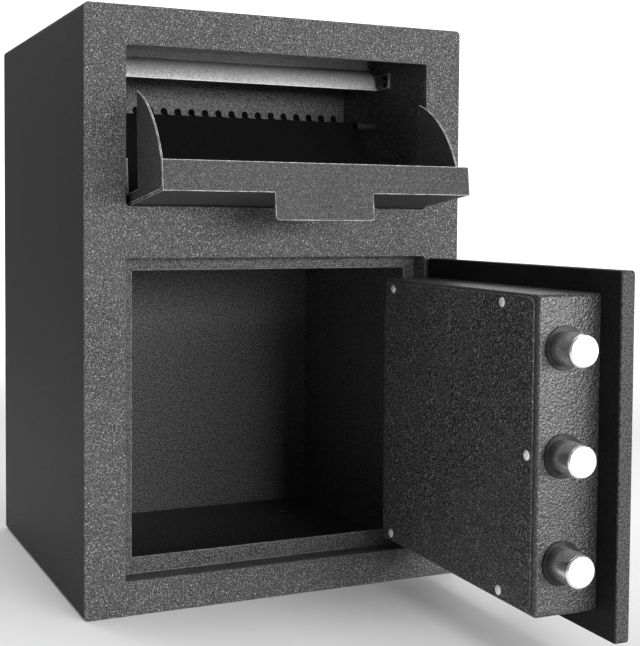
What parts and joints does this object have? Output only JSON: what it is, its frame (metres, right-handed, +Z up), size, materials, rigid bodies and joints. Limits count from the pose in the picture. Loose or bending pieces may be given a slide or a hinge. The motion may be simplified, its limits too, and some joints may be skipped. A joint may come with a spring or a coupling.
{
  "type": "depository safe",
  "caption": "Front-loading steel depository safe with a tilting deposit hopper above a hinged door locked by round bolts.",
  "frame": {"origin": "centre of the base on the floor", "axes": "+X to the right seen from the front, +Y to the back, +Z up"},
  "size_m": [0.3533, 0.606, 0.5],
  "materials": {
    "cabinet_paint": "fine textured black powder coat",
    "wrinkle_paint": "coarse wrinkled black powder coat",
    "hinge_paint": "black powder coat",
    "hopper_paint": "satin fine textured black powder coat",
    "door_paint": "textured black powder coat",
    "housing_paint": "hammered black powder coat",
    "bolt_chrome": "polished chrome",
    "lock_chrome": "polished chrome",
    "bright_steel": "ground",
    "zinc_steel": "zinc plated",
    "coil_steel": "nickel plated",
    "dark_fastener": "black oxide",
    "bush_nylon": "black nylon",
    "stop_rubber": "black rubber",
    "pad_plastic": "fine textured black plastic",
    "key_rubber": "grey silicone",
    "knob_plastic": "satin black",
    "board_green": "solder mask",
    "battery_wrap": "plain wrap",
    "cable_jacket": "soft jacket"
  },
  "bodies": {
    "cabinet": {"cabinet_wrap": "cabinet_paint", "back_panel": "cabinet_paint", "face_frame": "wrinkle_paint", "door_jamb": "wrinkle_paint", "hinge_brackets": "hinge_paint", "hinge_pins": "bright_steel", "chamber_cheek_left": "wrinkle_paint", "chamber_cheek_right": "wrinkle_paint", "guard_rail": "wrinkle_paint", "rail_bolts": "dark_fastener", "toothed_baffle": "wrinkle_paint", "pivot_bushes": "bush_nylon", "hopper_stops": "stop_rubber"},
    "hopper": {"hopper_panel": "hopper_paint", "hopper_wing_left": "hopper_paint", "hopper_wing_right": "hopper_paint", "hopper_back": "hopper_paint", "pivot_studs": "zinc_steel"},
    "door": {"door_plate": "door_paint", "hinge_lugs": "hinge_paint", "bolt_housing": "housing_paint", "housing_cover": "housing_paint", "cover_screws": "zinc_steel", "bolt_sleeves": "bush_nylon", "carriage_guides": "zinc_steel", "solenoid_case": "coil_steel", "override_body": "lock_chrome", "knob_rose": "lock_chrome", "keypad_case": "pad_plastic", "keypad_backplate": "pad_plastic", "circuit_board": "board_green", "battery": "battery_wrap", "lock_harness": "cable_jacket"},
    "bolt_work": {"bolt_carriage": "zinc_steel", "bolt_nuts": "zinc_steel", "locking_bolt_1": "bolt_chrome", "locking_bolt_2": "bolt_chrome", "locking_bolt_3": "bolt_chrome"},
    "knob": {"knob": "knob_plastic", "knob_spindle": "zinc_steel", "cam_disc": "zinc_steel", "crank_pin": "zinc_steel"},
    "plunger": {"solenoid_plunger": "zinc_steel"},
    "override": {"override_plug": "lock_chrome", "override_tail": "zinc_steel"},
    "key_1": {"key_1": "key_rubber"},
    "key_2": {"key_2": "key_rubber"},
    "key_3": {"key_3": "key_rubber"},
    "key_4": {"key_4": "key_rubber"},
    "key_5": {"key_5": "key_rubber"},
    "key_6": {"key_6": "key_rubber"},
    "key_7": {"key_7": "key_rubber"},
    "key_8": {"key_8": "key_rubber"},
    "key_9": {"key_9": "key_rubber"},
    "key_clear": {"key_clear": "key_rubber"},
    "key_0": {"key_0": "key_rubber"},
    "key_enter": {"key_enter": "key_rubber"}
  },
  "joints": [
    {"name": "hopper_tip", "type": "hinge", "parent": "cabinet", "child": "hopper", "pos_m": [0, -0.136, 0.36232], "axis": [1, 0, 0], "range_deg": [-83, 0]},
    {"name": "door_hinge", "type": "hinge", "parent": "cabinet", "child": "door", "pos_m": [0.1475, -0.1575, 0.162], "axis": [0, 0, 1], "range_deg": [-88, 25]},
    {"name": "bolt_slide", "type": "slide", "parent": "door", "child": "bolt_work", "axis": [0.0349, 0.9994, 0], "range_m": [0, 0.018]},
    {"name": "knob_turn", "type": "hinge", "parent": "door", "child": "knob", "pos_m": [0.14718, -0.31008, 0.112], "axis": [-0.9994, 0.0349, 0], "range_deg": [0, 90]},
    {"name": "plunger_slide", "type": "slide", "parent": "door", "child": "plunger", "axis": [0, 0, -1], "range_m": [0, 0.008]},
    {"name": "override_turn", "type": "hinge", "parent": "door", "child": "override", "pos_m": [0.14899, -0.25811, 0.112], "axis": [-0.9994, 0.0349, 0], "range_deg": [0, 90]},
    {"name": "press_1", "type": "slide", "parent": "door", "child": "key_1", "axis": [-0.9994, 0.0349, 0], "range_m": [0, 0.0012], "stiffness_N_per_m": 300},
    {"name": "press_2", "type": "slide", "parent": "door", "child": "key_2", "axis": [-0.9994, 0.0349, 0], "range_m": [0, 0.0012], "stiffness_N_per_m": 300},
    {"name": "press_3", "type": "slide", "parent": "door", "child": "key_3", "axis": [-0.9994, 0.0349, 0], "range_m": [0, 0.0012], "stiffness_N_per_m": 300},
    {"name": "press_4", "type": "slide", "parent": "door", "child": "key_4", "axis": [-0.9994, 0.0349, 0], "range_m": [0, 0.0012], "stiffness_N_per_m": 300},
    {"name": "press_5", "type": "slide", "parent": "door", "child": "key_5", "axis": [-0.9994, 0.0349, 0], "range_m": [0, 0.0012], "stiffness_N_per_m": 300},
    {"name": "press_6", "type": "slide", "parent": "door", "child": "key_6", "axis": [-0.9994, 0.0349, 0], "range_m": [0, 0.0012], "stiffness_N_per_m": 300},
    {"name": "press_7", "type": "slide", "parent": "door", "child": "key_7", "axis": [-0.9994, 0.0349, 0], "range_m": [0, 0.0012], "stiffness_N_per_m": 300},
    {"name": "press_8", "type": "slide", "parent": "door", "child": "key_8", "axis": [-0.9994, 0.0349, 0], "range_m": [0, 0.0012], "stiffness_N_per_m": 300},
    {"name": "press_9", "type": "slide", "parent": "door", "child": "key_9", "axis": [-0.9994, 0.0349, 0], "range_m": [0, 0.0012], "stiffness_N_per_m": 300},
    {"name": "press_clear", "type": "slide", "parent": "door", "child": "key_clear", "axis": [-0.9994, 0.0349, 0], "range_m": [0, 0.0012], "stiffness_N_per_m": 300},
    {"name": "press_0", "type": "slide", "parent": "door", "child": "key_0", "axis": [-0.9994, 0.0349, 0], "range_m": [0, 0.0012], "stiffness_N_per_m": 300},
    {"name": "press_enter", "type": "slide", "parent": "door", "child": "key_enter", "axis": [-0.9994, 0.0349, 0], "range_m": [0, 0.0012], "stiffness_N_per_m": 300}
  ],
  "couplings": [
    {"joint": "knob_turn", "follows": "bolt_slide", "rad_per_m": 87.26}
  ]
}
